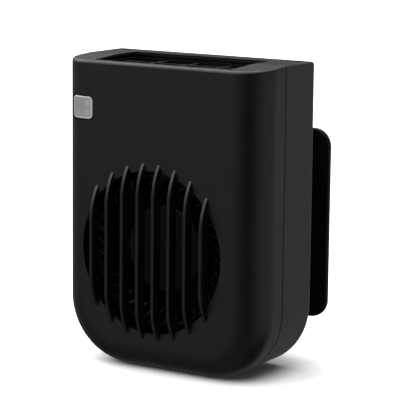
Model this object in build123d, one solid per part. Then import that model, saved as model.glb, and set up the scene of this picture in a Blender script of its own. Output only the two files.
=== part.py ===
"""Clip-on pocket blower used as a boot dryer: battery, drum fan, top outlet, spring clip.

Millimetres. X runs left to right seen from the intake side, Y runs from the intake face to
the clip, Z is up. The origin lies on the flat base, in the middle of the housing's depth.
"""
from build123d import *
import math
import os

# ---------------------------------------------------------------- housing
WIDTH = 82.4
HEIGHT = 110.0
DEPTH = 38.0
WALL = 2.0
BOTTOM_R = 24.0                 # round lower corners, seen from the front
FRONT_R = 11.5                  # soft front edge, sides and bottom
REAR_R = 1.5
TOP_R = 1.1
TOP_DROP = 1.05                 # the top of the front shell falls this much to the front
TOP_ZONE = 2.0                  # edges less than this below the top belong to the top
FRONT_Y = -DEPTH / 2
BACK_Y = DEPTH / 2
SEAM_Y = -1.4
SEAM_GAP = 0.36                 # open groove between the two shells
SEAM_EDGE = 0.25                # bevel on the rear shell beside the groove
TONGUE = 1.6                    # rear shell's tongue reaches this far into the front shell
TONGUE_PLAY = 0.15
PLAY = 0.1                      # clearance between pieces that are stacked or slid together
MARGIN = 1.0                    # how far a cutter reaches past the face it opens

# ---------------------------------------------------------------- intake grille
FAN_X = -2.0
FAN_Z = 43.3
INTAKE_R = 28.8
FIN_COUNT = 8
FIN_PITCH = 6.52
FIN_THICK = 1.35
FIN_PROUD = 3.9
FIN_TIP_R = 31.5                # fin tips end on this circle
FIN_RUN = 12.0                  # length over which a fin rises from the face
FIN_ROOT = 0.2                  # fins are let into the face by this much
FIN_EDGE_R = 0.35

# ---------------------------------------------------------------- outlet
SLOT_X = 28.2
SLOT_FRONT = -15.8
SLOT_REAR = 10.0
SLOT_R = 1.0
LIP = 1.1                       # thickness of the top beside the slot
LIP_REACH = 2.0                 # the top is thinned from below this far round the slot
GUARD_TOP = 108.2
BAR_TOP = 107.6
BAR_BOTTOM = 104.9
GUARD_BAR = 1.2
GUARD_RIM = 1.3
GUARD_FLANGE = 1.7              # the guard reaches this far out under the top
SLAT_COUNT = 2
RIB_COUNT = 3

# ---------------------------------------------------------------- scroll duct
DUCT_WALL = 1.5
DUCT_BACK = 8.7                 # air side of the duct's back plate
DUCT_PLATE = 1.4
DUCT_TOP = 106.8
OUTLET_X = 28.2                 # half the duct's width at the top
SHELL_PLAY = 0.05               # the duct lies this far inside the shells
CUTOFF_R = 1.0                  # round edge where the scroll meets the outlet
TONGUE_ANGLE = 125.0
SCROLL_START_R = 29.5
SCROLL_END_R = 37.5
DUCT_FRONT_WALL = (-16.9, -15.5)
RAMP_Z = (79.0, 84.0, 88.0)     # foot, start of the duct's own front wall, end of the ramp

# ---------------------------------------------------------------- drum fan and motor
BLADE_COUNT = 36
BLADE_R = (21.0, 26.4)
BLADE_LEAN = 6.2                # degrees the tip trails the root
BLADE_THICK = 0.9
WHEEL_FRONT = -13.9
WHEEL_BACK = 5.7
WHEEL_PLATE = 1.5
RING_R = 26.8
HUB_R = 15.5
HUB_FACE = -10.1
HUB_WALL = 1.8
HUB_EDGE_R = 0.9
SHAFT_BOSS = 2.0                # boss inside the hub that grips the shaft
SHAFT_FRONT = HUB_FACE + 0.8
SHAFT_BACK = 8.0
RIM_Y = (WHEEL_FRONT + 0.5, WHEEL_FRONT + 2.7)
RIM_WIDE = 0.8
MOUTH = (2.4, 1.0, 4.0)         # the blades' front ends slope inward: outer, inner, depth
CAN_R = (12.9, 13.6)
CAN_BACK = 3.5
MAGNET_R = 11.5
MAGNET_Y = (-6.0, 3.2)
CLIP_RING_R = 2.9
CLIP_RING_Y = (6.75, 7.25)
SHAFT_R = 1.5
BEARING_R = 4.0
BEARING_LENGTH = 3.0
RUNNING_FIT = 0.05
TUBE_R = 5.0
STATOR_R = 11.1
STATOR_Y = (-4.0, 2.5)
TEETH = 9
BASE_PLATE = 1.6
BASE_R = 15.0
MOTOR_SCREW_R = 11.6            # pitch radius of the three motor screws
TUBE_FRONT = -5.9
BEARING_STARTS = (-5.8, 3.5)
TOOTH_WIDE = 2.2
SHOE_THICK = 1.0
SHOE_HALF_ANGLE = 14.0
COIL_CENTRE_R = 8.3
COIL_LONG = 2.8                 # along the tooth
COIL_WIDE = 4.5                 # across the tooth
COIL_OVER = 1.2                 # how far a coil stands out of the core's ends
LEAD_X = FAN_X - 7.4            # middle of the motor leads
LEAD_PITCH = 1.2
LEAD_BEND_R = 1.6
MOTOR_BOARD_R = 9.4
MOTOR_BOARD_THICK = 1.0

# ---------------------------------------------------------------- power button
BUTTON_RIGHT = -26.9            # edge of the button on the flat face
BUTTON_WRAP = 37.0              # degrees the button reaches round the front edge
BUTTON_Z = 92.35
BUTTON_TALL = 8.3
BUTTON_CORNER = 1.8
BUTTON_GAP = 0.3
BUTTON_TRAVEL = 0.6
BUTTON_FLANGE = 0.8
BUTTON_UNDER = 1.3              # the cap reaches this far below the shell's inner face
BUTTON_EDGE = 0.45
STEM_R = 1.3
STEM_END = 5.9
PLUNGER_R = 0.85
PLUNGER_END = 7.2
SWITCH_FRONT = 6.5
SWITCH_SIZE = 3.6
LAMP_SIZE = 1.5
LAMP_TALL = 0.8
LAMP_STEP = (2.7, 3.2)          # lamps stand this far from the switch
SWITCH_LEAD_X = -34.0
SWITCH_LEAD_PITCH = 1.3
SWITCH_LEAD_FRONT = -9.4
POCKET_FLOOR = -14.8            # the duct clears the button's flange down to here
POCKET_REACH = 2.3              # and this far past the button's right edge
POCKET_PLAY = 0.5
POCKET_WALL = 1.0
SWITCH_U = -2.6                 # switch centre along the button, from its middle
SWITCH_BOARD_DEPTH = 8.2
SWITCH_BOARD_TALL = 10.2
SWITCH_BOARD_WIDE = 8.3
SWITCH_BOARD_THICK = 1.0
BUTTON_REACH = (-3.0, 7.0)      # depths that a cut through the soft edge needs
RAIL_THICK = 1.1                # rails of the front shell that hold the switch board
RAIL_WIDE = 6.0
RAIL_OVER = 1.6                 # rails reach this far past the board's face

# ---------------------------------------------------------------- battery and boards
CELL_Y = (11.5, 16.7)
CELL_X = 25.0
CELL_Z = (24.0, 82.0)
CELL_EDGE_R = 1.4
PAD_SPANS = ((-23.0, -15.0), (8.0, 16.0))
PAD_Z = (30.0, 76.0)
CELL_LEAD_X = (14.0, 16.5)
BOARD_Y = (10.9, 12.1)
BOARD_X = (-38.5, 27.0)
BOARD_Z = (86.5, 99.5)
USB_Y = 13.7
USB_Z = 93.0
USB_WIDE = 8.94
USB_TALL = 3.2
USB_GAP = 0.3
USB_LONG = 5.0
USB_SET_IN = 0.5
USB_SHEET = 0.3
USB_TONGUE = (0.7, 6.6)
WIRE_R = 0.45

# ---------------------------------------------------------------- screws
BOSS_R = 3.0                    # screw posts of the rear shell
FRONT_BOSS_R = 2.8
FRONT_PILOT_Y = -10.0           # blind end of the screw holes in the front shell
HOLE_PLAY = 0.15                # screws pass the rear shell with this much room
BOSS_X_LOW = 29.0
BOSS_Z_LOW = 13.0
BOSS_X_HIGH = 36.2
BOSS_Z_HIGH = 83.0
SCREW_R = 0.98
PILOT_R = 1.0
SCREW_SEAT = 6.4
SHELL_SCREW = (15.0, 2.0, 1.6)  # length, head radius, head height
MOTOR_SCREW = (2.9, 1.7, 1.2)
BOARD_SCREW = (4.6, 1.7, 0.7)
SCREW_WELL_R = 2.2
BOARD_SCREW_X = 20.0
BOARD_POST = 4.0

# ---------------------------------------------------------------- carrying eyes
EYE_X = 36.3
EYE_Y = 15.6
EYE_R = 1.6
EYE_Z = 103.0
EYE_BLOCK = 3.4                 # half width of the corner block round an eye

# ---------------------------------------------------------------- clip
CLIP_X = 39.0
CLIP_Z = (15.4, 84.4)
CLIP_Y = (33.6, 36.0)
CLIP_CORNER = 6.5
CLIP_EDGE_R = 0.7
CLIP_BORDER = 3.5               # raised border round the shallow recess in the plate
CLIP_RECESS = 0.5
CLIP_SINK = 0.8                 # jaw, knuckles and stop are let into the plate by this much
PIN_Y = 28.6
PIN_Z = 70.0
PIN_R = 1.25
PAD_BACK = 20.8                 # face of the raised pad that carries the hinge lugs
PAD_TALL = 24.0
PAD_R = 3.0
LEG_SLOT_DEEP = 1.5             # slot in the pad for the spring's front leg
LUG_R = 3.4
LUG_X = (13.0, 16.0)
KNUCKLE_X = (9.4, 12.7)
JAW_X = 25.0
JAW_Z = (18.0, 24.0)
JAW_GAP = 0.4
GRIP_PAD = 1.2
GRIP_SETBACK = 0.5
GRIP_GROOVES = 3
GRIP_GROOVE_R = 0.4
THUMB_RIBS = 5
THUMB_RIB_R = 0.6
THUMB_RIB_PITCH = 2.4
THUMB_RIB_X = 16.0
THUMB_START = 5.0               # first thumb rib below the plate's top
STOP_X = (1.5, 6.0)
STOP_Z = (PIN_Z + 6.0, PIN_Z + 9.5)
LEG_SLOT_X = (-5.6, -2.0)
LEG_SLOT_Z = (PIN_Z + 1.0, PIN_Z + 10.0)
REAR_LEG = 9.0
FRONT_LEG = (0.9, 6.0)          # the front leg ends this far off the pad and above the pin
PIN_HEAD = 0.9
COIL_R = 2.4
COIL_WIRE_R = 0.45
COIL_PITCH = 1.15
COIL_TURNS = 6


# ---------------------------------------------------------------- helpers
def prism_y(sketch, y0, y1):
    """A sketch drawn in (x, z), pushed from y0 to y1."""
    plane = Plane(origin=(0, y1, 0), x_dir=(1, 0, 0), z_dir=(0, -1, 0))
    return extrude(plane * sketch, amount=y1 - y0)


def prism_x(sketch, x0, x1):
    """A sketch drawn in (y, z), pushed from x0 to x1."""
    plane = Plane(origin=(x0, 0, 0), x_dir=(0, 1, 0), z_dir=(1, 0, 0))
    return extrude(plane * sketch, amount=x1 - x0)


def prism_z(sketch, z0, z1):
    """A sketch drawn in (x, y), pushed from z0 to z1."""
    return extrude(Plane(origin=(0, 0, z0)) * sketch, amount=z1 - z0)


def block(x, y, z):
    """A box between two limits on each axis."""
    middle = [(low + high) / 2 for low, high in (x, y, z)]
    return Pos(*middle) * Box(x[1] - x[0], y[1] - y[0], z[1] - z[0])


def rod_y(x, z, y0, y1, radius):
    """A round bar along Y."""
    return prism_y(Pos(x, z) * Circle(radius), y0, y1)


def rod_x(y, z, x0, x1, radius):
    """A round bar along X."""
    return prism_x(Pos(y, z) * Circle(radius), x0, x1)


def ring_y(y0, y1, inner, outer):
    """A ring about the fan axis."""
    return prism_y(Pos(FAN_X, FAN_Z) * (Circle(outer) - Circle(inner)), y0, y1)


def disc_y(y0, y1, radius):
    """A disc about the fan axis."""
    return rod_y(FAN_X, FAN_Z, y0, y1, radius)


def save(shape, node):
    """Write one node's solids to its own file."""
    pieces = shape if isinstance(shape, list) else [shape]
    solids = [solid for piece in pieces for solid in piece.solids()]
    export_step(Compound(children=solids), f"parts/{node}.step")


def screw_y(x, z, seat, length, head_r, head_tall, towards_back):
    """A cross-head screw along Y, its head seated at y = seat."""
    way = 1 if towards_back else -1
    head = rod_y(x, z, min(seat, seat + way * head_tall), max(seat, seat + way * head_tall), head_r)
    shank = rod_y(x, z, min(seat, seat - way * length), max(seat, seat - way * length), SCREW_R)
    top = seat + way * head_tall
    deep = top - way * 0.6 * head_tall
    cross = Rectangle(head_r * 1.2, 0.5) + Rectangle(0.5, head_r * 1.2)
    recess = prism_y(Pos(x, z) * cross, min(top, deep), max(top, deep))
    return head + shank - recess


# ---------------------------------------------------------------- housing envelope
def side_profile(inset):
    """Front outline of the housing in (x, z), shrunk evenly."""
    half = WIDTH / 2 - inset
    tall = HEIGHT - 2 * inset
    flat = Pos(0, HEIGHT / 2) * Rectangle(2 * half, tall)
    return fillet(flat.vertices().sort_by(Axis.Y)[:2], BOTTOM_R - inset)


def free_edges(face, seam_y):
    """A face's edges, without the one on the seam."""
    return [edge for edge in face.edges() if abs(edge.center().Y - seam_y) > 0.01]


def front_half(inset):
    """Solid envelope of the front shell, shrunk evenly."""
    front = FRONT_Y + inset
    body = prism_y(side_profile(inset), front, SEAM_Y)
    top = HEIGHT - inset
    if inset < TOP_R:
        wedge = make_face(Polyline((front, top - TOP_DROP), (SEAM_Y, top), (SEAM_Y, top + MARGIN),
                                   (front, top + MARGIN), close=True))
        body -= prism_x(wedge, -WIDTH, WIDTH)
    face = body.faces().sort_by(Axis.Y)[0]
    soft = [edge for edge in face.edges() if edge.center().Z < top - TOP_ZONE]
    body = fillet(soft, FRONT_R - inset)
    if inset < TOP_R:
        lid = body.faces().sort_by(Axis.Z)[-1]
        body = fillet(free_edges(lid, SEAM_Y), TOP_R - inset)
    return body


def rear_half(inset):
    """Solid envelope of the rear shell, shrunk evenly."""
    body = prism_y(side_profile(inset), SEAM_Y, BACK_Y - inset)
    face = body.faces().sort_by(Axis.Y)[-1]
    if inset < REAR_R:
        low = [edge for edge in face.edges() if edge.center().Z < HEIGHT - TOP_ZONE]
        body = fillet(low, REAR_R - inset)
    if inset < TOP_R:
        lid = body.faces().sort_by(Axis.Z)[-1]
        body = fillet(free_edges(lid, SEAM_Y), TOP_R - inset)
    return body


def slot_plan(grow):
    """Plan of the air outlet in the top, grown evenly."""
    deep = SLOT_REAR - SLOT_FRONT
    radius = max(SLOT_R + grow, GUARD_BAR / 2)
    outline = RectangleRounded(2 * (SLOT_X + grow), deep + 2 * grow, radius)
    return Pos(0, (SLOT_REAR + SLOT_FRONT) / 2) * outline


def slot_cut():
    """The air outlet, with the rebate round it that takes the guard's flange."""
    opening = prism_z(slot_plan(0), HEIGHT - 2 * WALL, HEIGHT + MARGIN)
    return opening + prism_z(slot_plan(LIP_REACH), HEIGHT - 2 * WALL, HEIGHT - LIP)


def boss_places():
    """Where the four shell screws stand, as (x, z)."""
    low = [(side * BOSS_X_LOW, BOSS_Z_LOW) for side in (-1, 1)]
    high = [(side * BOSS_X_HIGH, BOSS_Z_HIGH) for side in (-1, 1)]
    return low + high


def fin(index):
    """One louvre fin: rises from the face along an arc, runs level and falls again."""
    offset = (index - (FIN_COUNT - 1) / 2) * FIN_PITCH
    half = math.sqrt(FIN_TIP_R ** 2 - offset ** 2)
    radius = (FIN_RUN ** 2 + FIN_PROUD ** 2) / (2 * FIN_PROUD)
    crest = FRONT_Y - FIN_PROUD
    root = FRONT_Y + FIN_ROOT
    low, high = FAN_Z - half, FAN_Z + half
    sag = radius - math.sqrt(radius ** 2 - (FIN_RUN / 2) ** 2)
    outline = Line((root, low), (FRONT_Y, low))
    outline += ThreePointArc((FRONT_Y, low), (crest + sag, low + FIN_RUN / 2), (crest, low + FIN_RUN))
    outline += Line((crest, low + FIN_RUN), (crest, high - FIN_RUN))
    outline += ThreePointArc((crest, high - FIN_RUN), (crest + sag, high - FIN_RUN / 2), (FRONT_Y, high))
    outline += Line((FRONT_Y, high), (root, high))
    outline += Line((root, high), (root, low))
    x = FAN_X + offset
    body = prism_x(make_face(outline), x - FIN_THICK / 2, x + FIN_THICK / 2)
    long_edges = [edge for edge in body.edges()
                  if edge.center().Y < FRONT_Y - 0.5 and edge.length > 2 * FIN_THICK]
    return fillet(long_edges, FIN_EDGE_R)


# ---------------------------------------------------------------- power button frame
BUTTON_ARC = math.radians(BUTTON_WRAP)
BUTTON_LEFT = (-(WIDTH / 2 - FRONT_R) - FRONT_R * math.sin(BUTTON_ARC),
               FRONT_Y + FRONT_R * (1 - math.cos(BUTTON_ARC)))
BUTTON_WIDE = math.hypot(BUTTON_RIGHT - BUTTON_LEFT[0], BUTTON_LEFT[1] - FRONT_Y)
BUTTON_TILT = math.atan2(BUTTON_LEFT[1] - FRONT_Y, BUTTON_RIGHT - BUTTON_LEFT[0])
BUTTON_PLANE = Plane(origin=((BUTTON_RIGHT + BUTTON_LEFT[0]) / 2, (FRONT_Y + BUTTON_LEFT[1]) / 2, BUTTON_Z),
                     x_dir=(math.cos(BUTTON_TILT), -math.sin(BUTTON_TILT), 0),
                     z_dir=(-math.sin(BUTTON_TILT), -math.cos(BUTTON_TILT), 0))


def inward(sketch, deep0, deep1):
    """A sketch in the button's own plane, pushed inward from one depth to another."""
    return extrude(BUTTON_PLANE.offset(-deep1) * sketch, amount=deep1 - deep0)


def button_outline(grow):
    """The button's outline, grown evenly."""
    return RectangleRounded(BUTTON_WIDE + 2 * grow, BUTTON_TALL + 2 * grow, BUTTON_CORNER + grow)


# ---------------------------------------------------------------- shells
def make_front_shell():
    """Front shell with the moulded grille, the button window, screw bosses and board rails."""
    shell = front_half(0) - front_half(WALL)
    for x, z in boss_places():
        shell += rod_y(x, z, FRONT_Y, SEAM_Y, FRONT_BOSS_R) & front_half(WALL / 2)
    shell -= block((-WIDTH, WIDTH), (SEAM_Y - SEAM_GAP / 2, 0), (-1, HEIGHT + 1))
    recess = block((-WIDTH, WIDTH), (SEAM_Y - TONGUE - TONGUE_PLAY, 0), (-1, HEIGHT + 1))
    shell -= (front_half(WALL / 2) - front_half(WALL)) & recess
    for x, z in boss_places():
        shell -= rod_y(x, z, FRONT_PILOT_Y, SEAM_Y, PILOT_R)
    shell -= disc_y(FRONT_Y - MARGIN, FRONT_Y + WALL + MARGIN, INTAKE_R)
    shell -= slot_cut()
    shell -= inward(button_outline(BUTTON_GAP), *BUTTON_REACH)
    rail_height = (SWITCH_BOARD_TALL + RAIL_THICK) / 2 + PLAY
    for way in (-1, 1):
        rail = Pos(SWITCH_U, way * rail_height) * Rectangle(RAIL_WIDE, RAIL_THICK)
        shell += inward(rail, 0, SWITCH_BOARD_DEPTH + RAIL_OVER) & front_half(WALL / 2)
    for index in range(FIN_COUNT):
        shell += fin(index)
    return shell


def make_eye_block(side):
    """A corner block inside the rear shell that carries one cord eye."""
    x = side * EYE_X
    return block((x - EYE_BLOCK, x + EYE_BLOCK), (EYE_Y - EYE_BLOCK, BACK_Y - WALL / 2),
                 (EYE_Z - EYE_BLOCK, HEIGHT - WALL / 2))


def make_eye_cut(side):
    """The cord's way: down from the top, round a bend and out of the back."""
    x = side * EYE_X
    down = prism_z(Pos(x, EYE_Y) * Circle(EYE_R), EYE_Z, HEIGHT + 1)
    out = rod_y(x, EYE_Z, EYE_Y, BACK_Y + 1, EYE_R)
    return down + out + Pos(x, EYE_Y, EYE_Z) * Sphere(EYE_R)


def make_rear_shell():
    """Rear shell: screw posts, cord eyes, socket window and the clip's hinge lugs."""
    shell = rear_half(0) - rear_half(WALL)
    groove = SEAM_Y + SEAM_GAP / 2
    shell -= block((-WIDTH, WIDTH), (SEAM_Y - MARGIN, groove), (-MARGIN, HEIGHT + MARGIN))
    core = rear_half(WALL / 4)
    rim = [edge for edge in shell.faces().sort_by(Axis.Y)[0].edges()
           if not core.is_inside(edge.position_at(0.5) + Vector(0, MARGIN, 0))]
    shell = chamfer(rim, SEAM_EDGE)
    tongue_outline = side_profile(WALL / 2 + PLAY) - side_profile(WALL)
    tongue_top = HEIGHT - WALL / 2 - 2 * PLAY
    tongue = prism_y(tongue_outline, SEAM_Y - TONGUE, groove)
    shell += tongue - block((-WIDTH, WIDTH), (FRONT_Y, groove), (tongue_top, HEIGHT))
    for x, z in boss_places():
        shell += rod_y(x, z, groove, BACK_Y - WALL / 2, BOSS_R) & rear_half(WALL / 2)
    for x, z in boss_places():
        shell -= rod_y(x, z, SEAM_Y - 2 * TONGUE, BACK_Y + MARGIN, PILOT_R + HOLE_PLAY)
        shell -= rod_y(x, z, SCREW_SEAT, BACK_Y + MARGIN, SCREW_WELL_R)
    for side in (-1, 1):
        shell += make_eye_block(side) & rear_half(WALL / 2)
        post = Rectangle(BOARD_POST, BOARD_POST)
        shell += prism_y(Pos(side * BOARD_SCREW_X, USB_Z) * post, BOARD_Y[1], BACK_Y - WALL / 2)
        shell -= rod_y(side * BOARD_SCREW_X, USB_Z, BOARD_Y[0], BACK_Y - WALL, PILOT_R)
    for side in (-1, 1):
        shell -= make_eye_cut(side)
    shell -= slot_cut()
    window = RectangleRounded(USB_TALL + 2 * USB_GAP, USB_WIDE + 2 * USB_GAP, USB_TALL / 2)
    shell -= prism_x(Pos(USB_Y, USB_Z) * window, -WIDTH / 2 - MARGIN, -WIDTH / 2 + WALL + MARGIN)
    pad = RectangleRounded(2 * LUG_X[1] + 4, PAD_TALL, PAD_R)
    shell += prism_y(Pos(0, PIN_Z + 2) * pad, BACK_Y - WALL / 4, PAD_BACK)
    for side in (-1, 1):
        x0, x1 = sorted((side * LUG_X[0], side * LUG_X[1]))
        shell += prism_x(lug_outline(), x0, x1)
        shell -= rod_x(PIN_Y, PIN_Z, x0 - MARGIN, x1 + MARGIN, PIN_R)
    return shell - block(LEG_SLOT_X, (PAD_BACK - LEG_SLOT_DEEP, PAD_BACK + MARGIN), LEG_SLOT_Z)


def lug_outline():
    """Outline of a hinge lug in (y, z): a foot on the pad and a round end about the pin."""
    foot = Pos(PAD_BACK - 0.2, PIN_Z + 1) * Rectangle(0.4, 2.6 * LUG_R)
    return make_hull((foot + Pos(PIN_Y, PIN_Z) * Circle(LUG_R)).edges())


def make_shell_screws():
    """Four self-tapping screws that hold the shells together."""
    return [screw_y(x, z, SCREW_SEAT, *SHELL_SCREW, True) for x, z in boss_places()]


# ---------------------------------------------------------------- air path
def scroll_point(angle, grow):
    """A point on the scroll, by its angle about the fan axis, moved outward by grow."""
    share = (angle - TONGUE_ANGLE) / (360 - TONGUE_ANGLE)
    radius = SCROLL_START_R + share * (SCROLL_END_R - SCROLL_START_R) + grow
    turn = math.radians(angle)
    return (FAN_X + radius * math.cos(turn), FAN_Z + radius * math.sin(turn))


def air_outline(grow):
    """The air space seen from the front: a growing scroll that opens upward into the outlet."""
    steps = 12
    angles = [TONGUE_ANGLE + (360 - TONGUE_ANGLE) * step / steps for step in range(steps + 1)]
    spiral = Spline([scroll_point(angle, grow) for angle in angles])
    centre = (FAN_X, FAN_Z)
    start, end = spiral @ 0, spiral @ 1
    scroll = make_face(spiral + Line(end, centre) + Line(centre, start))
    roof = DUCT_TOP + MARGIN
    right = Spline([end, (OUTLET_X + 1.2 + grow, DUCT_TOP - 18), (OUTLET_X + grow, roof)],
                   tangents=[(0, 1), (0, 1)])
    cutoff = scroll_point(TONGUE_ANGLE, 0)
    foot = (cutoff[0] - grow, cutoff[1])
    left = Polyline((OUTLET_X + grow, roof), (-OUTLET_X - grow, roof), foot, centre, end)
    return scroll + make_face(right + left)


def button_pocket(grow):
    """Room that the duct's front corner leaves for the button's flange at full travel."""
    half = BUTTON_TALL / 2 + BUTTON_FLANGE + POCKET_PLAY + grow
    right = BUTTON_RIGHT + POCKET_REACH + grow
    return block((-WIDTH / 2, right), (FRONT_Y, POCKET_FLOOR + grow), (BUTTON_Z - half, BUTTON_Z + half))


def make_fan_duct():
    """Scroll wall and back plate in one moulding, with its own front wall at the outlet."""
    inner_front = FRONT_Y + WALL
    wall_front, wall_back = DUCT_FRONT_WALL
    foot, start, end = RAMP_Z
    air = air_outline(0) + Pos(*scroll_point(TONGUE_ANGLE, 0)) * Circle(CUTOFF_R)
    envelope = prism_y(air_outline(DUCT_WALL), inner_front, DUCT_BACK + DUCT_PLATE)
    duct = envelope - prism_y(air, FRONT_Y, DUCT_BACK)
    ramp = make_face(Polyline((inner_front, foot), (wall_back, end), (wall_back, HEIGHT),
                              (wall_front, HEIGHT), (wall_front, start), (inner_front, start), close=True))
    duct += prism_x(ramp, -WIDTH / 2, WIDTH / 2) & envelope
    duct += button_pocket(POCKET_WALL) & envelope
    duct -= button_pocket(0)
    duct -= block((-WIDTH, WIDTH), (FRONT_Y, BACK_Y), (DUCT_TOP, HEIGHT + MARGIN))
    duct &= front_half(WALL + SHELL_PLAY) + rear_half(WALL + SHELL_PLAY)
    for x, z in motor_screw_places():
        duct -= rod_y(x, z, DUCT_BACK - MARGIN, DUCT_BACK + DUCT_PLATE + MARGIN, PILOT_R)
    return duct - lead_window(DUCT_BACK - MARGIN, DUCT_BACK + DUCT_PLATE + MARGIN)


def make_outlet_frame():
    """Frame of the outlet guard, trapped between the duct and the housing's top."""
    frame = prism_z(slot_plan(GUARD_FLANGE), DUCT_TOP + PLAY, GUARD_TOP)
    return frame - prism_z(slot_plan(-GUARD_RIM), DUCT_TOP, GUARD_TOP + MARGIN)


def guard_bars(low, high, count):
    """Limits of evenly spaced bars between two ends."""
    pitch = (high - low) / (count + 1)
    middles = [low + (index + 1) * pitch for index in range(count)]
    return [(middle - GUARD_BAR / 2, middle + GUARD_BAR / 2) for middle in middles]


def make_guard_slats():
    """Long slats of the outlet guard, end to end in the frame."""
    end = SLOT_X - GUARD_RIM
    bars = guard_bars(SLOT_FRONT + GUARD_RIM, SLOT_REAR - GUARD_RIM, SLAT_COUNT)
    return [block((-end, end), y, (BAR_BOTTOM, BAR_TOP)) for y in bars]


def make_guard_ribs():
    """Short ribs between the slats."""
    slats = make_guard_slats()
    end = SLOT_X - GUARD_RIM
    reach = (SLOT_FRONT + GUARD_RIM, SLOT_REAR - GUARD_RIM)
    return [block(x, reach, (BAR_BOTTOM, BAR_TOP)) - slats for x in guard_bars(-end, end, RIB_COUNT)]


# ---------------------------------------------------------------- drum fan
def blade(index):
    """One blade in (x, z): a curved strip whose tip trails its root."""
    def at(radius, angle):
        turn = math.radians(angle)
        return (radius * math.cos(turn), radius * math.sin(turn))
    root, tip = BLADE_R
    middle = (root + tip) / 2
    wide = math.degrees(BLADE_THICK / middle)
    near = ThreePointArc(at(root, 0), at(middle, -0.38 * BLADE_LEAN), at(tip, -BLADE_LEAN))
    far = ThreePointArc(at(root, wide), at(middle, wide - 0.38 * BLADE_LEAN), at(tip, wide - BLADE_LEAN))
    outline = near + Line(near @ 1, far @ 1) + far + Line(far @ 0, near @ 0)
    return Rot(0, 0, 360 * index / BLADE_COUNT) * make_face(outline)


def make_fan_wheel():
    """Drum wheel: hub cup, back plate, curved blades and a stiffening ring."""
    hub_floor = HUB_FACE + HUB_WALL
    hub = disc_y(HUB_FACE, WHEEL_BACK, HUB_R)
    hub = fillet(hub.edges().sort_by(Axis.Y)[0], HUB_EDGE_R)
    hub -= disc_y(hub_floor, WHEEL_BACK + MARGIN, HUB_R - HUB_WALL)
    hub += disc_y(hub_floor, hub_floor + SHAFT_BOSS, 2 * SHAFT_R)
    hub -= disc_y(SHAFT_FRONT, WHEEL_BACK + MARGIN, SHAFT_R)
    plate = ring_y(WHEEL_BACK - WHEEL_PLATE, WHEEL_BACK, HUB_R - HUB_WALL / 2, RING_R)
    rim = ring_y(*RIM_Y, RING_R - RIM_WIDE, RING_R)
    blades = [Pos(FAN_X, FAN_Z) * blade(index) for index in range(BLADE_COUNT)]
    drum = prism_y(Sketch() + blades, WHEEL_FRONT, WHEEL_BACK - WHEEL_PLATE / 2)
    outer, inner, deep = MOUTH
    root = BLADE_R[0]
    slope = make_face(Polyline((0, WHEEL_FRONT - MARGIN), (root + outer, WHEEL_FRONT - MARGIN),
                               (root + outer, WHEEL_FRONT), (root - inner, WHEEL_FRONT + deep),
                               (0, WHEEL_FRONT + deep), close=True))
    mouth = Pos(FAN_X, 0, FAN_Z) * revolve(slope, Axis.Y, 360)
    return hub + plate + rim + (drum - mouth)


def make_rotor_can():
    """Steel cup pressed into the hub."""
    front = HUB_FACE + HUB_WALL
    inner, outer = CAN_R
    floor = ring_y(front, front + outer - inner, 2 * SHAFT_R + PLAY, inner + PLAY)
    return ring_y(front, CAN_BACK, inner, outer) + floor


def make_rotor_magnet():
    """Ring magnet inside the rotor can."""
    return ring_y(*MAGNET_Y, MAGNET_R, CAN_R[0])


def make_motor_shaft():
    """Fan shaft, fixed in the hub."""
    return disc_y(SHAFT_FRONT, SHAFT_BACK, SHAFT_R)


def make_shaft_clip():
    """Retaining ring behind the rear bearing."""
    gap = Pos(FAN_X, FAN_Z - CLIP_RING_R) * Rectangle(1.2 * SHAFT_R, 2 * CLIP_RING_R - 2 * PLAY)
    ring = Pos(FAN_X, FAN_Z) * (Circle(CLIP_RING_R) - Circle(SHAFT_R))
    return prism_y(ring - gap, *CLIP_RING_Y)


# ---------------------------------------------------------------- motor
def motor_screw_places():
    """Where the three motor screws stand, as (x, z)."""
    turns = [math.radians(90 + 120 * index) for index in range(3)]
    return [(FAN_X + MOTOR_SCREW_R * math.cos(turn), FAN_Z + MOTOR_SCREW_R * math.sin(turn))
            for turn in turns]


def lead_window(y0, y1):
    """Slot for the three motor leads."""
    slot = RectangleRounded(3 * LEAD_PITCH + 2 * PLAY, 3 * WIRE_R + PLAY / 2, WIRE_R)
    return prism_y(Pos(LEAD_X, FAN_Z) * slot, y0, y1)


def make_motor_base():
    """Motor base: flange and bearing tube."""
    front = DUCT_BACK - BASE_PLATE
    base = disc_y(front, DUCT_BACK, BASE_R) + disc_y(TUBE_FRONT, DUCT_BACK, TUBE_R)
    base -= disc_y(TUBE_FRONT - MARGIN, DUCT_BACK + MARGIN, BEARING_R)
    for x, z in motor_screw_places():
        base -= rod_y(x, z, front - MARGIN, DUCT_BACK + MARGIN, PILOT_R + PLAY)
    return base - lead_window(front - MARGIN, DUCT_BACK + MARGIN)


def make_bearings():
    """Two ball bearings, drawn as plain rings with a running fit on the shaft."""
    return [ring_y(start, start + BEARING_LENGTH, SHAFT_R + RUNNING_FIT, BEARING_R)
            for start in BEARING_STARTS]


def tooth_turns():
    """Angles of the stator teeth."""
    return [360 * index / TEETH for index in range(TEETH)]


def make_stator_core():
    """Laminated core: a ring with T-shaped teeth."""
    core = Circle(TUBE_R + 1.6)
    shoe_ring = Circle(STATOR_R) - Circle(STATOR_R - SHOE_THICK)
    reach = 2 * STATOR_R
    side = reach * math.tan(math.radians(SHOE_HALF_ANGLE))
    wedge = Polygon((0, 0), (reach, side), (reach, -side), align=None)
    tooth = Pos(STATOR_R / 2, 0) * Rectangle(STATOR_R - SHOE_THICK, TOOTH_WIDE)
    for turn in tooth_turns():
        core += Rot(0, 0, turn) * tooth
        core += Rot(0, 0, turn) * (shoe_ring & wedge)
    core -= Circle(TUBE_R)
    return prism_y(Pos(FAN_X, FAN_Z) * core, *STATOR_Y)


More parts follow.
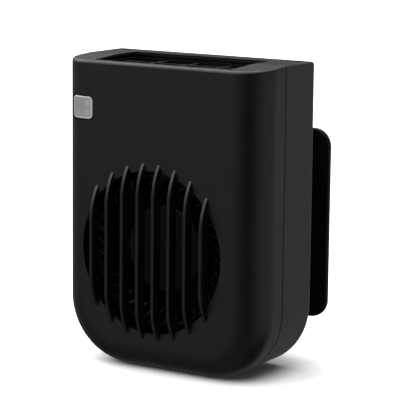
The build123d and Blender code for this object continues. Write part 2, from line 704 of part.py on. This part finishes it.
def make_stator_windings():
    """One copper coil round each tooth."""
    coils = []
    for turn in tooth_turns():
        place = Pos(FAN_X, FAN_Z) * Rot(0, 0, turn) * Pos(COIL_CENTRE_R, 0)
        coil = prism_y(place * Rectangle(COIL_LONG, COIL_WIDE), STATOR_Y[0] - COIL_OVER,
                       STATOR_Y[1] + COIL_OVER)
        coil -= prism_y(place * Rectangle(COIL_LONG + MARGIN, TOOTH_WIDE + PLAY / 2), *STATOR_Y)
        coils.append(coil)
    return coils


def make_motor_board():
    """Small round board on the motor base."""
    back = DUCT_BACK - BASE_PLATE
    board = ring_y(back - MOTOR_BOARD_THICK, back, TUBE_R + SHELL_PLAY, MOTOR_BOARD_R)
    return board - lead_window(0, DUCT_BACK)


def make_motor_screws():
    """Three screws through the motor base into the duct."""
    seat = DUCT_BACK - BASE_PLATE
    return [screw_y(x, z, seat, *MOTOR_SCREW, False) for x, z in motor_screw_places()]


def make_motor_leads():
    """Three insulated wires from the motor to the main board."""
    start = DUCT_BACK - BASE_PLATE - MOTOR_BOARD_THICK / 2
    leads = []
    for index in (-1, 0, 1):
        x = LEAD_X + index * LEAD_PITCH
        path = FilletPolyline((x, start, FAN_Z), (x, BOARD_Y[0], FAN_Z), (x, BOARD_Y[0], BOARD_Z[0]),
                              radius=LEAD_BEND_R)
        section = Plane(origin=path @ 0, z_dir=path % 0) * Circle(WIRE_R)
        leads.append(sweep(section, path=path))
    return leads


# ---------------------------------------------------------------- battery and electronics
def make_battery_cell():
    """Flat lithium cell with soft corners."""
    cell = block((-CELL_X, CELL_X), CELL_Y, CELL_Z)
    return fillet(cell.edges().filter_by(Axis.Z), CELL_EDGE_R)


def make_battery_pads():
    """Foam strips between the cell and the duct."""
    return [block(x, (DUCT_BACK + DUCT_PLATE, CELL_Y[0]), PAD_Z) for x in PAD_SPANS]


def make_battery_leads():
    """Two wires from the cell to the main board."""
    return [prism_z(Pos(x, BOARD_Y[1] - WIRE_R) * Circle(WIRE_R), CELL_Z[1], BOARD_Z[0])
            for x in CELL_LEAD_X]


def make_main_board():
    """Charging and motor control board."""
    board = block(BOARD_X, BOARD_Y, BOARD_Z)
    for side in (-1, 1):
        board -= rod_y(side * BOARD_SCREW_X, USB_Z, BOARD_Y[0] - MARGIN, BOARD_Y[1] + MARGIN, PILOT_R + PLAY)
    return board


def make_board_chips():
    """Controller, charger, inductor and connector on the rear of the board."""
    back = BOARD_Y[1]
    sizes = [((-12.0, -7.0), 1.0, (90.0, 95.0)), ((-3.0, 1.0), 1.0, (89.5, 92.5)),
             ((4.0, 10.0), 3.0, (89.0, 95.0)), ((13.0, 17.0), 2.4, (87.5, 90.5)),
             ((-28.0, -24.0), 1.2, (95.0, 98.0))]
    return [block(x, (back, back + tall), z) for x, tall, z in sizes]


def make_board_screws():
    """Two low-head screws that hold the board to the rear shell."""
    return [screw_y(side * BOARD_SCREW_X, USB_Z, BOARD_Y[0], *BOARD_SCREW, False) for side in (-1, 1)]


def make_usb_socket():
    """Charging socket: an open metal shell with a contact tongue."""
    inner_end = BOARD_X[0] + USB_LONG
    mouth = -WIDTH / 2 + USB_SET_IN
    round_end = USB_TALL / 2 - 0.01
    outline = RectangleRounded(USB_TALL, USB_WIDE, round_end)
    hollow = RectangleRounded(USB_TALL - 2 * USB_SHEET, USB_WIDE - 2 * USB_SHEET, round_end - USB_SHEET)
    place = Pos(USB_Y, USB_Z)
    socket = prism_x(place * outline, mouth, inner_end)
    socket -= prism_x(place * hollow, mouth - MARGIN, inner_end - MARGIN)
    return socket + prism_x(place * Rectangle(*USB_TONGUE), mouth + USB_LONG / 4, inner_end - MARGIN / 2)


# ---------------------------------------------------------------- power button
def make_power_button():
    """Frosted cap that follows the housing's soft edge, with a retaining flange and a stem."""
    inner = WALL + BUTTON_UNDER
    cap = inward(button_outline(0), *BUTTON_REACH) & (front_half(0) - front_half(inner))
    rim = [edge for edge in cap.edges() if on_skin(edge)]
    cap = chamfer(rim, BUTTON_EDGE)
    flange = front_half(WALL + BUTTON_GAP) - front_half(inner)
    cap += inward(button_outline(BUTTON_FLANGE), *BUTTON_REACH) & flange
    return cap + inward(Pos(SWITCH_U, 0) * Circle(STEM_R), inner - 0.8, STEM_END)


def on_skin(edge):
    """Whether an edge lies on the outer skin of the housing."""
    point = edge.position_at(0.5)
    half = WIDTH / 2 - FRONT_R
    if point.X > -half:
        return abs(point.Y - FRONT_Y) < 0.01
    return abs(math.hypot(point.X + half, point.Y - FRONT_Y - FRONT_R) - FRONT_R) < 0.01


def make_switch_plunger():
    """Moving plunger of the switch, pushed by the cap's stem."""
    return inward(Pos(SWITCH_U, 0) * Circle(PLUNGER_R), STEM_END, PLUNGER_END)


def make_tact_switch():
    """Body of the push switch."""
    body = inward(Pos(SWITCH_U, 0) * Rectangle(SWITCH_SIZE, SWITCH_SIZE), SWITCH_FRONT, SWITCH_BOARD_DEPTH)
    well = inward(Pos(SWITCH_U, 0) * Circle(PLUNGER_R + PLAY), SWITCH_FRONT - MARGIN,
                  PLUNGER_END + BUTTON_TRAVEL + PLAY)
    return body - well


def make_switch_board():
    """Small board behind the button, held between two rails of the front shell."""
    outline = Pos(SWITCH_U - 0.25, 0) * Rectangle(SWITCH_BOARD_WIDE, SWITCH_BOARD_TALL)
    return inward(outline, SWITCH_BOARD_DEPTH, SWITCH_BOARD_DEPTH + SWITCH_BOARD_THICK)


def make_status_lights():
    """Four small lamps behind the frosted cap."""
    wide, tall = LAMP_STEP
    places = [(SWITCH_U + u * wide, v * tall) for u in (-1, 1) for v in (-1, 1)]
    return [inward(Pos(u, v) * Rectangle(LAMP_SIZE, LAMP_SIZE), SWITCH_BOARD_DEPTH - LAMP_TALL,
                   SWITCH_BOARD_DEPTH) for u, v in places]


def make_switch_leads():
    """Four wires from the switch board to the main board."""
    board = make_switch_board()
    low = BUTTON_Z - 2.3 * SWITCH_LEAD_PITCH
    leads = [rod_y(SWITCH_LEAD_X, low + index * SWITCH_LEAD_PITCH, SWITCH_LEAD_FRONT, BOARD_Y[0], WIRE_R)
             for index in range(4)]
    return [(lead - board).solids().sort_by(Axis.Y)[-1] for lead in leads]


# ---------------------------------------------------------------- clip
def make_clip_plate():
    """Broad clip plate with hinge knuckles, a lower jaw and a thumb grip."""
    low, high = CLIP_Z
    front, back = CLIP_Y
    root = front + CLIP_SINK
    middle = Pos(0, (low + high) / 2)
    plate = prism_y(middle * RectangleRounded(2 * CLIP_X, high - low, CLIP_CORNER), front, back)
    plate = fillet(plate.edges().filter_by(GeomType.LINE).filter_by(Plane.XZ)
                   + plate.edges().filter_by(GeomType.CIRCLE), CLIP_EDGE_R)
    panel = RectangleRounded(2 * (CLIP_X - CLIP_BORDER), high - low - 2 * CLIP_BORDER,
                             CLIP_CORNER - CLIP_BORDER)
    plate -= prism_y(middle * panel, front - MARGIN, front + CLIP_RECESS)
    for side in (-1, 1):
        x0, x1 = sorted((side * KNUCKLE_X[0], side * KNUCKLE_X[1]))
        foot = Pos(root, PIN_Z - 2) * Rectangle(0.4, 4.4 * LUG_R)
        knuckle = make_hull((foot + Pos(PIN_Y, PIN_Z) * Circle(LUG_R - 0.2)).edges())
        plate += prism_x(knuckle, x0, x1)
        plate -= rod_x(PIN_Y, PIN_Z, x0 - MARGIN, x1 + MARGIN, PIN_R + RUNNING_FIT)
    jaw_front = BACK_Y + JAW_GAP + GRIP_PAD
    jaw = make_face(Polyline((jaw_front, JAW_Z[0]), (jaw_front, JAW_Z[1]), (root, JAW_Z[1] + 6),
                             (root, JAW_Z[0]), close=True))
    plate += prism_x(jaw, -JAW_X, JAW_X)
    plate += block(STOP_X, (PIN_Y + COIL_R + COIL_WIRE_R, root), STOP_Z)
    for index in range(THUMB_RIBS):
        z = high - THUMB_START - index * THUMB_RIB_PITCH
        plate += rod_x(back - PLAY, z, -THUMB_RIB_X, THUMB_RIB_X, THUMB_RIB_R)
    return plate


def make_clip_grip():
    """Rubber strip on the jaw."""
    front = BACK_Y + JAW_GAP
    end = JAW_X - 2 * GRIP_SETBACK
    low, high = JAW_Z
    strip = block((-end, end), (front, front + GRIP_PAD), (low + GRIP_SETBACK, high - GRIP_SETBACK))
    pitch = (high - low) / (GRIP_GROOVES + 1)
    for index in range(GRIP_GROOVES):
        strip -= rod_x(front, low + (index + 1) * pitch, -JAW_X, JAW_X, GRIP_GROOVE_R)
    return strip


def make_clip_pin():
    """Hinge pin through the lugs."""
    end = LUG_X[1]
    pin = rod_x(PIN_Y, PIN_Z, -end - 0.5, end + 0.5, PIN_R)
    return pin + rod_x(PIN_Y, PIN_Z, end, end + PIN_HEAD, PIN_R + 0.7)


def make_clip_spring():
    """Torsion spring: a coil round the pin, one leg on the housing pad and one on the plate."""
    half = COIL_PITCH * COIL_TURNS / 2
    helix = Helix(pitch=COIL_PITCH, height=2 * half, radius=COIL_R)
    wire = Circle(COIL_WIRE_R)
    coil = sweep(Plane(origin=helix @ 0, z_dir=helix % 0) * wire, path=helix, is_frenet=True)
    coil = Pos(-half, PIN_Y, PIN_Z) * Rot(0, 90, 0) * Rot(0, 0, 180) * coil
    off_pad, rise = FRONT_LEG
    rear_leg = Line((half, PIN_Y + COIL_R, PIN_Z), (half, PIN_Y + COIL_R, PIN_Z + REAR_LEG))
    front_leg = Line((-half, PIN_Y - COIL_R, PIN_Z), (-half, PAD_BACK + off_pad, PIN_Z + rise))
    legs = [sweep(Plane(origin=leg @ 0, z_dir=leg % 0) * wire, path=leg) for leg in (rear_leg, front_leg)]
    return coil + legs[0] + legs[1]


PARTS = {
    "front_shell": make_front_shell,
    "rear_shell": make_rear_shell,
    "shell_screws": make_shell_screws,
    "fan_duct": make_fan_duct,
    "outlet_frame": make_outlet_frame,
    "guard_slats": make_guard_slats,
    "guard_ribs": make_guard_ribs,
    "fan_wheel": make_fan_wheel,
    "rotor_can": make_rotor_can,
    "rotor_magnet": make_rotor_magnet,
    "motor_shaft": make_motor_shaft,
    "shaft_clip": make_shaft_clip,
    "motor_base": make_motor_base,
    "motor_bearings": make_bearings,
    "stator_core": make_stator_core,
    "stator_windings": make_stator_windings,
    "motor_board": make_motor_board,
    "motor_screws": make_motor_screws,
    "motor_leads": make_motor_leads,
    "battery_cell": make_battery_cell,
    "battery_pads": make_battery_pads,
    "battery_leads": make_battery_leads,
    "main_board": make_main_board,
    "board_chips": make_board_chips,
    "board_screws": make_board_screws,
    "usb_socket": make_usb_socket,
    "power_button": make_power_button,
    "switch_plunger": make_switch_plunger,
    "tact_switch": make_tact_switch,
    "switch_board": make_switch_board,
    "status_lights": make_status_lights,
    "switch_leads": make_switch_leads,
    "clip_plate": make_clip_plate,
    "clip_grip": make_clip_grip,
    "clip_pin": make_clip_pin,
    "clip_spring": make_clip_spring,
}

os.makedirs("parts", exist_ok=True)
for node, make in PARTS.items():
    save(make(), node)
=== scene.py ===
"""Looks for the clip-on boot dryer: materials, studio and camera.

Every length is in metres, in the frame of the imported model: X right, Y from the intake face to
the clip, Z up, with the floor at Z = 0.
"""
import math

import bpy
from mathutils import Matrix, Vector


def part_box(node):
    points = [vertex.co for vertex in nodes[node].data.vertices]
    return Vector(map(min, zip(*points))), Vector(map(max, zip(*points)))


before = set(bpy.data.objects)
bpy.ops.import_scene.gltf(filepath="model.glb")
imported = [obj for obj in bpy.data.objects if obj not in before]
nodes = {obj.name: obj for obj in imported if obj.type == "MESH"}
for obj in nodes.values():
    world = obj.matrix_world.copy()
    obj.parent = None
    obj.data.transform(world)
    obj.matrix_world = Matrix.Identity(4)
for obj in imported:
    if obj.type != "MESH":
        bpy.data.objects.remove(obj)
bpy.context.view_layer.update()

# ------------------------------------------------------------------ noise
# Scales are in features per metre, heights in metres.
CLOUD_SCALE = 38                # slow changes of a plastic's tone
RIPPLE_SCALE = 60               # slow waves of its surface
RIPPLE_HEIGHT = 0.0002
SHEEN_SCALE = 150               # patches of more and less gloss
BRUSH_SCALE = 900               # lines of drawn metal
BRUSH_HEIGHT = 0.00003
FROST_CLOUD_SCALE = 260
FROST_GRAIN_SCALE = 3200
FROST_GRAIN_HEIGHT = 0.00003
PAPER_SCALE = 400

# ------------------------------------------------------------------ button cap
FROST_DARK = (0.12, 0.121, 0.127)
FROST_LIGHT = (0.142, 0.1435, 0.15)
FROST_PAINTED_LIGHT = (0.29, 0.293, 0.296)        # painted light: the highlight along the border and the glow of the light spots
# painted shade: the cap's sides in the gap around it are painted black
GAP_PAINTED_SHADE = (0.0, 0.0, 0.0)
FIN_PROUD = 0.0039              # the intake fins stand this far in front of the flat face
SKIN_ROUND = 0.0115             # radius of the front shell's soft edge
SKIN_FLAT_X = 0.0297            # the front face is flat out to here
GAP_SHADE_DEPTH = (0.00022, 0.0003)  # the cap's sides are painted black, as shade in the gap, between these depths below the outer skin
CAP_MIDDLE = (-0.03176, 0.09235)        # across, up
CAP_HALF = (0.00486, 0.00415)
CAP_CORNER = 0.0018
CAP_RIM = 0.0007                # width of the border's painted highlight
CAP_RIM_SOFT = 0.0001           # half the width over which the painted highlight fades in
LAMP_SHIFT = 0.00145            # the painted light spots sit this far right of the lamps behind them
LAMP_STEP = (0.00185, 0.0017)   # distance of the spots from their middle: across, up
LAMP_SPREAD = 0.0016            # radius of a painted light spot
LAMP_FADE_X = (-0.0335, -0.0305)        # the spots gain strength between these two places
LAMP_GLOW = (0.12, 0.42)        # their strength left and right


# ------------------------------------------------------------------ node helpers
MIX_COLOUR_INPUTS = (0, 6, 7)   # factor and the two colours among a Mix node's inputs
MIX_COLOUR_OUTPUT = 2           # and the blended colour among its outputs


class Paint:
    """One procedural material under construction: its tree, its shader and its object coordinates."""

    def __init__(self, name):
        self.material = bpy.data.materials.new(name)
        self.material.use_nodes = True
        self.tree = self.material.node_tree
        self.tree.nodes.clear()
        self.output = self.add("ShaderNodeOutputMaterial")
        self.shader = self.add("ShaderNodeBsdfPrincipled")
        self.link(self.shader, "BSDF", self.output, "Surface")
        self.place = self.add("ShaderNodeTexCoord")

    def add(self, kind, **values):
        node = self.tree.nodes.new(kind)
        for key, value in values.items():
            setattr(node, key, value)
        return node

    def link(self, source, output, target, socket):
        self.tree.links.new(source.outputs[output], target.inputs[socket])

    def set(self, **values):
        """Plain values on the shader's own sockets."""
        for key, value in values.items():
            self.shader.inputs[key.replace("_", " ")].default_value = value

    def noise(self, scale, detail=2.0, rough=0.5, stretch=(1, 1, 1)):
        """Noise over the object's own coordinates; scale is in features per metre."""
        spread = self.add("ShaderNodeMapping")
        spread.inputs["Scale"].default_value = stretch
        noise = self.add("ShaderNodeTexNoise")
        noise.inputs["Scale"].default_value = scale
        noise.inputs["Detail"].default_value = detail
        noise.inputs["Roughness"].default_value = rough
        self.link(self.place, "Object", spread, "Vector")
        self.link(spread, "Vector", noise, "Vector")
        return noise

    def math(self, operation, first, second=None):
        """Arithmetic on one or two values; each is a number or a (node, output) pair."""
        node = self.add("ShaderNodeMath", operation=operation)
        for index, value in enumerate((first, second)):
            if isinstance(value, tuple):
                self.tree.links.new(value[0].outputs[value[1]], node.inputs[index])
            elif value is not None:
                node.inputs[index].default_value = value
        return node

    def mix(self, share, under, over):
        """Blend a (node, output) colour towards a plain one; returns its own (node, output)."""
        node = self.add("ShaderNodeMix", data_type="RGBA")
        factor, first, second = (node.inputs[index] for index in MIX_COLOUR_INPUTS)
        self.tree.links.new(share[0].outputs[share[1]], factor)
        self.tree.links.new(under[0].outputs[under[1]], first)
        second.default_value = (*over, 1)
        return node, MIX_COLOUR_OUTPUT

    def remap(self, source, output, low, high, from_low=0.3, from_high=0.7):
        """Spread a value from one range to another."""
        remap = self.add("ShaderNodeMapRange")
        remap.inputs["From Min"].default_value = from_low
        remap.inputs["From Max"].default_value = from_high
        remap.inputs["To Min"].default_value = low
        remap.inputs["To Max"].default_value = high
        self.link(source, output, remap, "Value")
        return remap

    def ramp(self, source, output, dark, light, low=0.35, high=0.65):
        """Colour a value between two tones."""
        ramp = self.add("ShaderNodeValToRGB")
        first, last = ramp.color_ramp.elements
        first.position, first.color = low, (*dark, 1)
        last.position, last.color = high, (*light, 1)
        self.link(source, output, ramp, "Fac")
        return ramp

    def bump(self, source, output, strength, distance, below=None):
        """Height to normal, stacked on another bump when there is one."""
        bump = self.add("ShaderNodeBump")
        bump.inputs["Strength"].default_value = strength
        bump.inputs["Distance"].default_value = distance
        self.link(source, output, bump, "Height")
        if below:
            self.link(below, "Normal", bump, "Normal")
        return bump


def moulded(name, dark, light, rough_low, rough_high, grain=2600, grain_depth=0.00004, specular=0.5,
            tint=(1.0, 1.0, 1.0)):
    """Moulded plastic with a fine eroded grain and slow changes of tone and gloss."""
    paint = Paint(name)
    cloud = paint.noise(CLOUD_SCALE, 3.0)
    tone = paint.ramp(cloud, "Fac", dark, light)
    paint.link(tone, "Color", paint.shader, "Base Color")
    sheen = paint.noise(SHEEN_SCALE, 4.0, 0.6)
    gloss = paint.remap(sheen, "Fac", rough_low, rough_high)
    paint.link(gloss, "Result", paint.shader, "Roughness")
    fine = paint.noise(grain, 2.0, 0.65)
    ripple = paint.noise(RIPPLE_SCALE, 2.0)
    slow = paint.bump(ripple, "Fac", 0.25, RIPPLE_HEIGHT)
    bump = paint.bump(fine, "Fac", 0.55, grain_depth, slow)
    paint.link(bump, "Normal", paint.shader, "Normal")
    paint.set(Specular_IOR_Level=specular, Specular_Tint=(*tint, 1.0))
    return paint.material


def brushed(name, dark, light, rough=0.32, stretch=(1, 1, 30)):
    """Drawn or turned metal with fine lines along one way."""
    paint = Paint(name)
    lines = paint.noise(BRUSH_SCALE, 3.0, 0.6, stretch)
    tone = paint.ramp(lines, "Fac", dark, light)
    paint.link(tone, "Color", paint.shader, "Base Color")
    gloss = paint.remap(lines, "Fac", rough - 0.08, rough + 0.12)
    paint.link(gloss, "Result", paint.shader, "Roughness")
    bump = paint.bump(lines, "Fac", 0.2, BRUSH_HEIGHT)
    paint.link(bump, "Normal", paint.shader, "Normal")
    paint.set(Metallic=1.0)
    return paint.material


def assign(material, *names):
    """Give CAD nodes one material each, in place of what they came with."""
    for name in names:
        mesh = nodes[name].data
        mesh.materials.clear()
        mesh.materials.append(material)


# ------------------------------------------------------------------ materials
front_plastic = moulded("front_plastic", (0.00161, 0.00161, 0.00189), (0.00217, 0.00217, 0.00252),
                        0.29, 0.37, grain=3400, grain_depth=0.00018, specular=0.305,
                        tint=(0.9, 0.9, 1.0))
rear_plastic = moulded("rear_plastic", (0.00203, 0.00168, 0.00154), (0.00273, 0.00231, 0.00217),
                       0.29, 0.37, grain=3400, grain_depth=0.00018, specular=0.305,
                       tint=(1.0, 0.89, 0.86))
duct = moulded("duct_plastic", (0.0009, 0.0009, 0.0010), (0.0016, 0.0016, 0.0018), 0.42, 0.55,
               specular=0.1)
fan = moulded("fan_plastic", (0.0012, 0.0012, 0.0016), (0.0018, 0.0018, 0.0023), 0.4, 0.5,
              grain_depth=0.00002, specular=0.13, tint=(0.9, 0.9, 1.0))
clip_black = moulded("clip_plastic", (0.0012, 0.0012, 0.0014), (0.002, 0.002, 0.0022), 0.42, 0.52,
                     specular=0.12)
rubber = moulded("grip_rubber", (0.008, 0.008, 0.008), (0.014, 0.014, 0.014), 0.7, 0.85, grain=1800)
steel = brushed("zinc_steel", (0.42, 0.42, 0.43), (0.62, 0.62, 0.63))
core = brushed("core_steel", (0.20, 0.19, 0.185), (0.33, 0.32, 0.31), 0.42, (1, 60, 1))
copper = brushed("copper_wire", (0.55, 0.22, 0.09), (0.80, 0.38, 0.18), 0.3, (1, 30, 1))
alloy = brushed("cast_alloy", (0.48, 0.48, 0.5), (0.62, 0.62, 0.64), 0.45, (1, 1, 1))
magnet = moulded("bonded_magnet", (0.03, 0.03, 0.033), (0.05, 0.05, 0.055), 0.55, 0.7)
foil = brushed("cell_foil", (0.36, 0.38, 0.42), (0.5, 0.52, 0.56), 0.35, (1, 1, 1))
foam = moulded("cell_foam", (0.012, 0.012, 0.013), (0.028, 0.028, 0.03), 0.85, 0.95, 900, 0.0002)
laminate = moulded("board_laminate", (0.006, 0.06, 0.022), (0.012, 0.11, 0.04), 0.3, 0.42, 700)
chip = moulded("chip_plastic", (0.012, 0.012, 0.013), (0.02, 0.02, 0.022), 0.45, 0.6)
wire = moulded("wire_jacket", (0.22, 0.012, 0.01), (0.34, 0.02, 0.016), 0.35, 0.5)
lamp = moulded("lamp_body", (0.62, 0.6, 0.5), (0.78, 0.76, 0.66), 0.25, 0.4)


def skin_depth(paint, axes):
    """Depth below the housing's outer skin, near the front shell's left edge."""
    flat_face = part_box("front_shell")[0][1] + FIN_PROUD
    past_flat = paint.math("ADD", (axes, "X"), SKIN_FLAT_X)
    sideways = paint.math("MINIMUM", (past_flat, "Value"), 0.0)
    forward = paint.math("ADD", (axes, "Y"), -flat_face - SKIN_ROUND)
    across = paint.add("ShaderNodeCombineXYZ")
    paint.link(sideways, "Value", across, "X")
    paint.link(forward, "Value", across, "Y")
    reach = paint.add("ShaderNodeVectorMath", operation="LENGTH")
    paint.link(across, "Vector", reach, "Vector")
    return paint.math("SUBTRACT", SKIN_ROUND, (reach, "Value"))


def distance(paint, axes, middle, half, clip=False):
    """Distance in the X-Z plane from the corners of a rectangle, or from the rectangle when clipped."""
    squares = []
    for axis, centre, reach in zip("XZ", middle, half):
        offset = paint.math("SUBTRACT", (axes, axis), centre)
        away = paint.math("SUBTRACT", (paint.math("ABSOLUTE", (offset, "Value")), "Value"), reach)
        if clip:
            away = paint.math("MAXIMUM", (away, "Value"), 0.0)
        squares.append(paint.math("MULTIPLY", (away, "Value"), (away, "Value")))
    total = paint.math("ADD", (squares[0], "Value"), (squares[1], "Value"))
    return paint.math("SQRT", (total, "Value"))


def lamp_glow(paint, axes):
    """Painted light spots over the four lamps, stronger on the right; the lamps themselves give no
    light.
    """
    low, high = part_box("status_lights")
    middle = ((low[0] + high[0]) / 2 + LAMP_SHIFT, (low[2] + high[2]) / 2)
    away = distance(paint, axes, middle, LAMP_STEP)
    spot = paint.remap(away, "Value", 1.0, 0.0, 0.0, LAMP_SPREAD)
    fade = paint.remap(axes, "X", *LAMP_GLOW, *LAMP_FADE_X)
    return paint.math("MULTIPLY", (spot, "Result"), (fade, "Result"))


def painted_edge_highlight(paint, axes):
    """Mask of the painted highlight on the cap's rounded edge: 1 along the cap's outline, 0 inside it.
    """
    inner = [half - CAP_CORNER for half in CAP_HALF]
    away = distance(paint, axes, CAP_MIDDLE, inner, clip=True)
    start = CAP_CORNER - CAP_RIM
    return paint.remap(away, "Value", 0.0, 1.0, start - CAP_RIM_SOFT, start + CAP_RIM_SOFT)


def frosted_cap():
    """Frosted cap: pale grey, cloudy, with a painted highlight along its border, painted glow over the
    lamps and painted black shade in the gap.
    """
    paint = Paint("frosted_cap")
    cloud = paint.noise(FROST_CLOUD_SCALE, 3.0)
    tone = paint.ramp(cloud, "Fac", FROST_DARK, FROST_LIGHT)
    axes = paint.add("ShaderNodeSeparateXYZ")
    paint.link(paint.place, "Object", axes, "Vector")
    # painted glow over the lamps, which give no light of their own
    glow = lamp_glow(paint, axes)
    border = painted_edge_highlight(paint, axes)
    # painted light: the highlight along the border and the glow over the lamps lighten the cap's colour
    # here
    light = paint.math("MAXIMUM", (border, "Result"), (glow, "Value"))
    lit = paint.mix((light, "Value"), (tone, "Color"), FROST_PAINTED_LIGHT)
    depth = skin_depth(paint, axes)
    # painted shade: below the outer skin the cap turns black and stops reflecting, so the gap around it
    # reads dark
    gap_shade = paint.remap(depth, "Value", 0.0, 1.0, *GAP_SHADE_DEPTH)
    colour, result = paint.mix((gap_shade, "Result"), lit, GAP_PAINTED_SHADE)
    paint.link(colour, result, paint.shader, "Base Color")
    shine = paint.remap(gap_shade, "Result", 0.5, 0.0, 0.0, 1.0)
    paint.link(shine, "Result", paint.shader, "Specular IOR Level")
    gloss = paint.remap(cloud, "Fac", 0.42, 0.55)
    paint.link(gloss, "Result", paint.shader, "Roughness")
    fine = paint.noise(FROST_GRAIN_SCALE, 2.0, 0.6)
    bump = paint.bump(fine, "Fac", 0.35, FROST_GRAIN_HEIGHT)
    paint.link(bump, "Normal", paint.shader, "Normal")
    return paint.material


assign(front_plastic, "front_shell")
assign(rear_plastic, "rear_shell")
assign(duct, "fan_duct", "outlet_frame", "guard_slats", "guard_ribs")
assign(fan, "fan_wheel")
assign(clip_black, "clip_plate")
assign(rubber, "clip_grip")
assign(steel, "shell_screws", "motor_shaft", "shaft_clip", "motor_bearings", "motor_screws",
       "board_screws", "usb_socket", "clip_pin", "clip_spring")
assign(core, "rotor_can", "stator_core")
assign(copper, "stator_windings")
assign(alloy, "motor_base")
assign(magnet, "rotor_magnet")
assign(foil, "battery_cell")
assign(foam, "battery_pads")
assign(laminate, "motor_board", "main_board", "switch_board")
assign(chip, "board_chips", "tact_switch", "switch_plunger")
assign(wire, "motor_leads", "battery_leads", "switch_leads")
assign(lamp, "status_lights")
assign(frosted_cap(), "power_button")


# ------------------------------------------------------------------ studio
FLOOR_HALF = 6.0
ROOM_LIGHT = 0.008
SOFT_BOXES = [   # aim, angle where it fades out, angle at full strength, strength
    ((-0.36, -0.08, 1.0), 66, 38, 3.7),      # overhead, a little from the left
    ((0.24, 1.0, -0.05), 44, 12, 0.46),      # behind
    ((1.0, 0.12, -0.12), 38, 25, 0.72),      # right
    ((-0.4, -0.9, -0.14), 43, 28, 0.46),     # front left
    ((-1.0, 0.15, -0.1), 38, 14, 0.2),       # left
    ((0.0, -0.5, -1.0), 58, 20, 0.2),        # bounce from the floor in front
    ((-0.45, 0.75, -0.6), 38, 12, 0.12),     # bounce from the floor behind
]
LENS_MM = 178.8
CAMERA_PLACE = (0.3773, -0.5824, 0.1783)
CAMERA_RIGHT = (0.84239, 0.53877, 0.00998)
CAMERA_UP = (-0.09903, 0.13657, 0.98567)
CAMERA_BACK = (0.52969, -0.83131, 0.16840)


def make_floor():
    """Wide pale floor."""
    half = FLOOR_HALF
    mesh = bpy.data.meshes.new("floor")
    corners = [(-half, -half, 0), (half, -half, 0), (half, half, 0), (-half, half, 0)]
    mesh.from_pydata(corners, [], [(0, 1, 2, 3)])
    floor = bpy.data.objects.new("floor", mesh)
    bpy.context.collection.objects.link(floor)
    paint = Paint("floor_paper")
    grain = paint.noise(PAPER_SCALE, 2.0)
    tone = paint.ramp(grain, "Fac", (0.86, 0.86, 0.86), (0.88, 0.88, 0.88))
    paint.link(tone, "Color", paint.shader, "Base Color")
    paint.set(Roughness=0.9)
    mesh.materials.append(paint.material)
    floor.visible_glossy = False


def soft_box(tree, way, aim, fade_angle, full_angle, strength):
    """Node whose Result is the light of one round patch of the surround, soft at its edge."""
    facing = tree.nodes.new("ShaderNodeVectorMath")
    facing.operation = "DOT_PRODUCT"
    facing.inputs[1].default_value = Vector(aim).normalized()
    tree.links.new(way.outputs["Generated"], facing.inputs[0])
    patch = tree.nodes.new("ShaderNodeMapRange")
    patch.interpolation_type = "SMOOTHSTEP"
    patch.inputs["From Min"].default_value = math.cos(math.radians(fade_angle))
    patch.inputs["From Max"].default_value = math.cos(math.radians(full_angle))
    patch.inputs["To Max"].default_value = strength
    tree.links.new(facing.outputs["Value"], patch.inputs["Value"])
    return patch


def make_world():
    """Studio surround: a dim room with soft boxes, each seen in its own direction."""
    world = bpy.data.worlds.new("studio")
    world.use_nodes = True
    tree = world.node_tree
    sky = tree.nodes["Background"]
    sky.inputs["Color"].default_value = (1.0, 1.0, 1.0, 1.0)
    way = tree.nodes.new("ShaderNodeTexCoord")
    total = None
    for box in SOFT_BOXES:
        patch = soft_box(tree, way, *box)
        add = tree.nodes.new("ShaderNodeMath")
        tree.links.new(patch.outputs["Result"], add.inputs[0])
        if total:
            tree.links.new(total.outputs["Value"], add.inputs[1])
        else:
            add.inputs[1].default_value = ROOM_LIGHT
        total = add
    tree.links.new(total.outputs["Value"], sky.inputs["Strength"])
    bpy.context.scene.world = world


def make_camera():
    """Long lens, from the front right and a little above."""
    data = bpy.data.cameras.new("camera")
    data.sensor_width = 36.0
    data.lens = LENS_MM
    data.clip_start = 0.05
    data.clip_end = 50
    camera = bpy.data.objects.new("camera", data)
    turn = Matrix((CAMERA_RIGHT, CAMERA_UP, CAMERA_BACK)).transposed().to_4x4()
    camera.matrix_world = Matrix.Translation(CAMERA_PLACE) @ turn
    bpy.context.collection.objects.link(camera)
    bpy.context.scene.camera = camera


make_floor()
make_world()
make_camera()
bpy.context.scene.view_settings.view_transform = "Standard"
